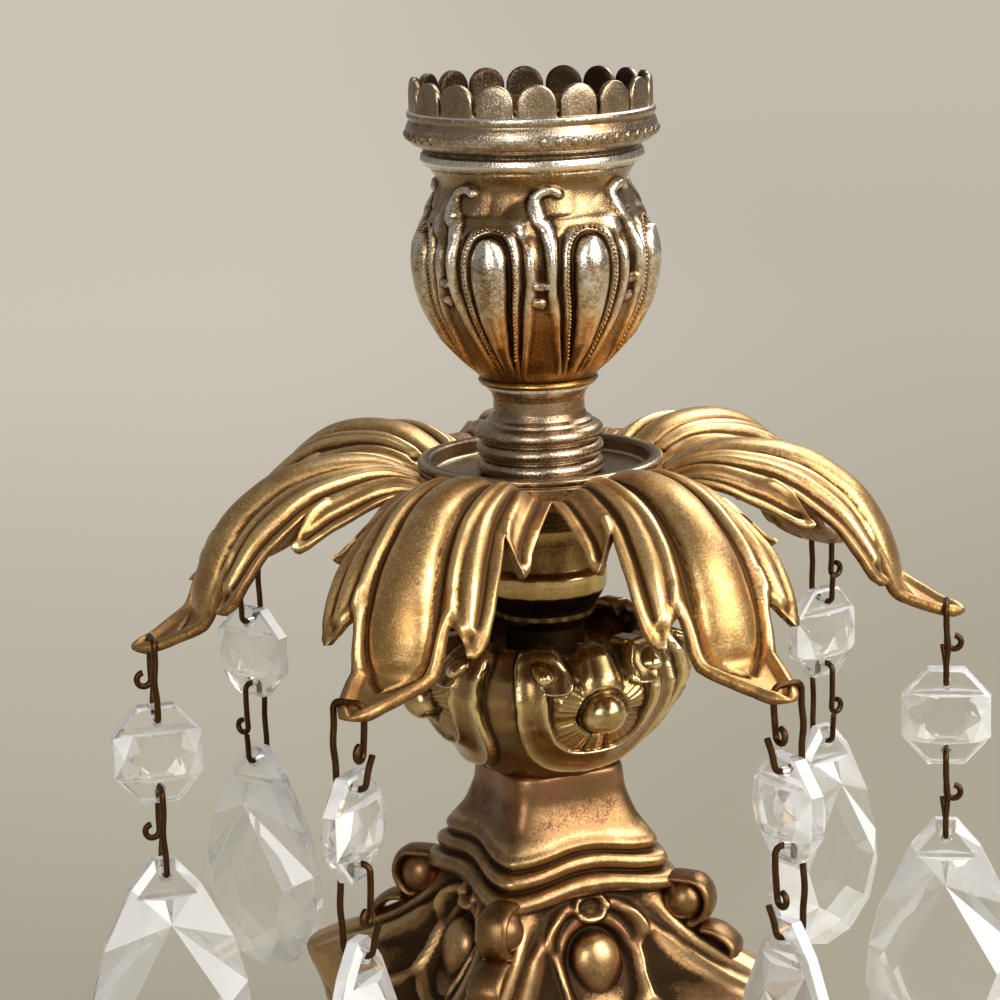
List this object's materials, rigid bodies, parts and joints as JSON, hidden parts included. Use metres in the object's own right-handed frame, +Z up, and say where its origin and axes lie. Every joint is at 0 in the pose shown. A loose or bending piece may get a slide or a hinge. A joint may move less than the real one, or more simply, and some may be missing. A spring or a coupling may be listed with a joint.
{
  "type": "girandole candle holder",
  "caption": "Ornate brass candle holder: scrolled base, vase, leafed drip dish and crowned cup, with glass beads and prisms swinging on wires from the leaf tips.",
  "frame": {"origin": "middle of the foot, on the table, on the axis of the stem", "axes": "+Z up along the stem, -Y towards the front of the picture, +X to the right"},
  "size_m": [0.1344, 0.1297, 0.1688],
  "materials": {
    "dark_bronze": "brown patina, rubbed on the high spots",
    "gilt_brass": "worn gilding over brown patina",
    "worn_silver": "silvery wear over brown-gold",
    "inner_brass": "plain aged brass",
    "wire": "dark brown oxide",
    "cut_glass": "clear, cut and polished"
  },
  "bodies": {
    "stand": {"base": "dark_bronze", "vase_knop": "dark_bronze", "stem_knop": "gilt_brass", "drip_dish": "dark_bronze", "ringed_collar": "worn_silver", "candle_cup": "worn_silver", "crown_gallery": "worn_silver", "candle_socket": "inner_brass", "threaded_rod": "inner_brass", "base_washer": "inner_brass", "base_nut": "inner_brass", "top_nut": "inner_brass", "leaf_1": "gilt_brass", "leaf_2": "gilt_brass", "leaf_3": "gilt_brass", "leaf_4": "gilt_brass", "leaf_5": "gilt_brass", "leaf_6": "gilt_brass", "leaf_7": "gilt_brass"},
    "upper_link_1": {"upper_link_1": "wire"},
    "bead_1": {"bead_1": "cut_glass"},
    "lower_link_1": {"lower_link_1": "wire"},
    "prism_1": {"prism_1": "cut_glass"},
    "upper_link_2": {"upper_link_2": "wire"},
    "bead_2": {"bead_2": "cut_glass"},
    "lower_link_2": {"lower_link_2": "wire"},
    "prism_2": {"prism_2": "cut_glass"},
    "upper_link_3": {"upper_link_3": "wire"},
    "bead_3": {"bead_3": "cut_glass"},
    "lower_link_3": {"lower_link_3": "wire"},
    "prism_3": {"prism_3": "cut_glass"},
    "upper_link_4": {"upper_link_4": "wire"},
    "bead_4": {"bead_4": "cut_glass"},
    "lower_link_4": {"lower_link_4": "wire"},
    "prism_4": {"prism_4": "cut_glass"},
    "upper_link_5": {"upper_link_5": "wire"},
    "bead_5": {"bead_5": "cut_glass"},
    "lower_link_5": {"lower_link_5": "wire"},
    "prism_5": {"prism_5": "cut_glass"},
    "upper_link_6": {"upper_link_6": "wire"},
    "bead_6": {"bead_6": "cut_glass"},
    "lower_link_6": {"lower_link_6": "wire"},
    "prism_6": {"prism_6": "cut_glass"},
    "upper_link_7": {"upper_link_7": "wire"},
    "bead_7": {"bead_7": "cut_glass"},
    "lower_link_7": {"lower_link_7": "wire"},
    "prism_7": {"prism_7": "cut_glass"}
  },
  "joints": [
    {"name": "upper_link_1_swing", "type": "hinge", "parent": "stand", "child": "upper_link_1", "pos_m": [-0.02785, -0.05021, 0.09415], "axis": [-0.8853, 0.4651, 0], "range_deg": [-2, 10]},
    {"name": "bead_1_swing", "type": "hinge", "parent": "upper_link_1", "child": "bead_1", "pos_m": [-0.02785, -0.05021, 0.08265], "axis": [-0.8853, 0.4651, 0], "range_deg": [-1.5, 25]},
    {"name": "lower_link_1_swing", "type": "hinge", "parent": "bead_1", "child": "lower_link_1", "pos_m": [-0.02785, -0.05021, 0.07255], "axis": [-0.8853, 0.4651, 0], "range_deg": [-1.5, 25]},
    {"name": "prism_1_swing", "type": "hinge", "parent": "lower_link_1", "child": "prism_1", "pos_m": [-0.02785, -0.05021, 0.05995], "axis": [-0.8853, 0.4651, 0], "range_deg": [-1, 25]},
    {"name": "upper_link_2_swing", "type": "hinge", "parent": "stand", "child": "upper_link_2", "pos_m": [0.02854, -0.04982, 0.09415], "axis": [-0.8787, -0.4774, 0], "range_deg": [-2, 10]},
    {"name": "bead_2_swing", "type": "hinge", "parent": "upper_link_2", "child": "bead_2", "pos_m": [0.02854, -0.04982, 0.08265], "axis": [-0.8787, -0.4774, 0], "range_deg": [-1.5, 25]},
    {"name": "lower_link_2_swing", "type": "hinge", "parent": "bead_2", "child": "lower_link_2", "pos_m": [0.02854, -0.04982, 0.07255], "axis": [-0.8787, -0.4774, 0], "range_deg": [-1.5, 25]},
    {"name": "prism_2_swing", "type": "hinge", "parent": "lower_link_2", "child": "prism_2", "pos_m": [0.02854, -0.04982, 0.05995], "axis": [-0.8787, -0.4774, 0], "range_deg": [-1, 25]},
    {"name": "upper_link_3_swing", "type": "hinge", "parent": "stand", "child": "upper_link_3", "pos_m": [0.05611, -0.01219, 0.09415], "axis": [-0.1901, -0.9818, 0], "range_deg": [-2, 10]},
    {"name": "bead_3_swing", "type": "hinge", "parent": "upper_link_3", "child": "bead_3", "pos_m": [0.05611, -0.01219, 0.08265], "axis": [-0.1901, -0.9818, 0], "range_deg": [-1.5, 25]},
    {"name": "lower_link_3_swing", "type": "hinge", "parent": "bead_3", "child": "lower_link_3", "pos_m": [0.05611, -0.01219, 0.07255], "axis": [-0.1901, -0.9818, 0], "range_deg": [-1.5, 25]},
    {"name": "prism_3_swing", "type": "hinge", "parent": "lower_link_3", "child": "prism_3", "pos_m": [0.05611, -0.01219, 0.05995], "axis": [-0.1901, -0.9818, 0], "range_deg": [-1, 25]},
    {"name": "upper_link_4_swing", "type": "hinge", "parent": "stand", "child": "upper_link_4", "pos_m": [0.04532, 0.03524, 0.09415], "axis": [0.5958, -0.8031, 0], "range_deg": [-2, 10]},
    {"name": "bead_4_swing", "type": "hinge", "parent": "upper_link_4", "child": "bead_4", "pos_m": [0.04532, 0.03524, 0.08265], "axis": [0.5958, -0.8031, 0], "range_deg": [-1.5, 25]},
    {"name": "lower_link_4_swing", "type": "hinge", "parent": "bead_4", "child": "lower_link_4", "pos_m": [0.04532, 0.03524, 0.07255], "axis": [0.5958, -0.8031, 0], "range_deg": [-1.5, 25]},
    {"name": "prism_4_swing", "type": "hinge", "parent": "lower_link_4", "child": "prism_4", "pos_m": [0.04532, 0.03524, 0.05995], "axis": [0.5958, -0.8031, 0], "range_deg": [-1, 25]},
    {"name": "upper_link_5_swing", "type": "hinge", "parent": "stand", "child": "upper_link_5", "pos_m": [-0.0008, 0.05741, 0.09415], "axis": [1, -0.0087, 0], "range_deg": [-2, 10]},
    {"name": "bead_5_swing", "type": "hinge", "parent": "upper_link_5", "child": "bead_5", "pos_m": [-0.0008, 0.05741, 0.08265], "axis": [1, -0.0087, 0], "range_deg": [-1.5, 25]},
    {"name": "lower_link_5_swing", "type": "hinge", "parent": "bead_5", "child": "lower_link_5", "pos_m": [-0.0008, 0.05741, 0.07255], "axis": [1, -0.0087, 0], "range_deg": [-1.5, 25]},
    {"name": "prism_5_swing", "type": "hinge", "parent": "lower_link_5", "child": "prism_5", "pos_m": [-0.0008, 0.05741, 0.05995], "axis": [1, -0.0087, 0], "range_deg": [-1, 25]},
    {"name": "upper_link_6_swing", "type": "hinge", "parent": "stand", "child": "upper_link_6", "pos_m": [-0.04407, 0.0368, 0.09415], "axis": [0.6235, 0.7818, 0], "range_deg": [-2, 10]},
    {"name": "bead_6_swing", "type": "hinge", "parent": "upper_link_6", "child": "bead_6", "pos_m": [-0.04407, 0.0368, 0.08265], "axis": [0.6235, 0.7818, 0], "range_deg": [-1.5, 25]},
    {"name": "lower_link_6_swing", "type": "hinge", "parent": "bead_6", "child": "lower_link_6", "pos_m": [-0.04407, 0.0368, 0.07255], "axis": [0.6235, 0.7818, 0], "range_deg": [-1.5, 25]},
    {"name": "prism_6_swing", "type": "hinge", "parent": "lower_link_6", "child": "prism_6", "pos_m": [-0.04407, 0.0368, 0.05995], "axis": [0.6235, 0.7818, 0], "range_deg": [-1, 25]},
    {"name": "upper_link_7_swing", "type": "hinge", "parent": "stand", "child": "upper_link_7", "pos_m": [-0.05539, -0.01511, 0.09415], "axis": [-0.2412, 0.9705, 0], "range_deg": [-2, 10]},
    {"name": "bead_7_swing", "type": "hinge", "parent": "upper_link_7", "child": "bead_7", "pos_m": [-0.05539, -0.01511, 0.08265], "axis": [-0.2412, 0.9705, 0], "range_deg": [-1.5, 25]},
    {"name": "lower_link_7_swing", "type": "hinge", "parent": "bead_7", "child": "lower_link_7", "pos_m": [-0.05539, -0.01511, 0.07255], "axis": [-0.2412, 0.9705, 0], "range_deg": [-1.5, 25]},
    {"name": "prism_7_swing", "type": "hinge", "parent": "lower_link_7", "child": "prism_7", "pos_m": [-0.05539, -0.01511, 0.05995], "axis": [-0.2412, 0.9705, 0], "range_deg": [-1, 25]}
  ]
}
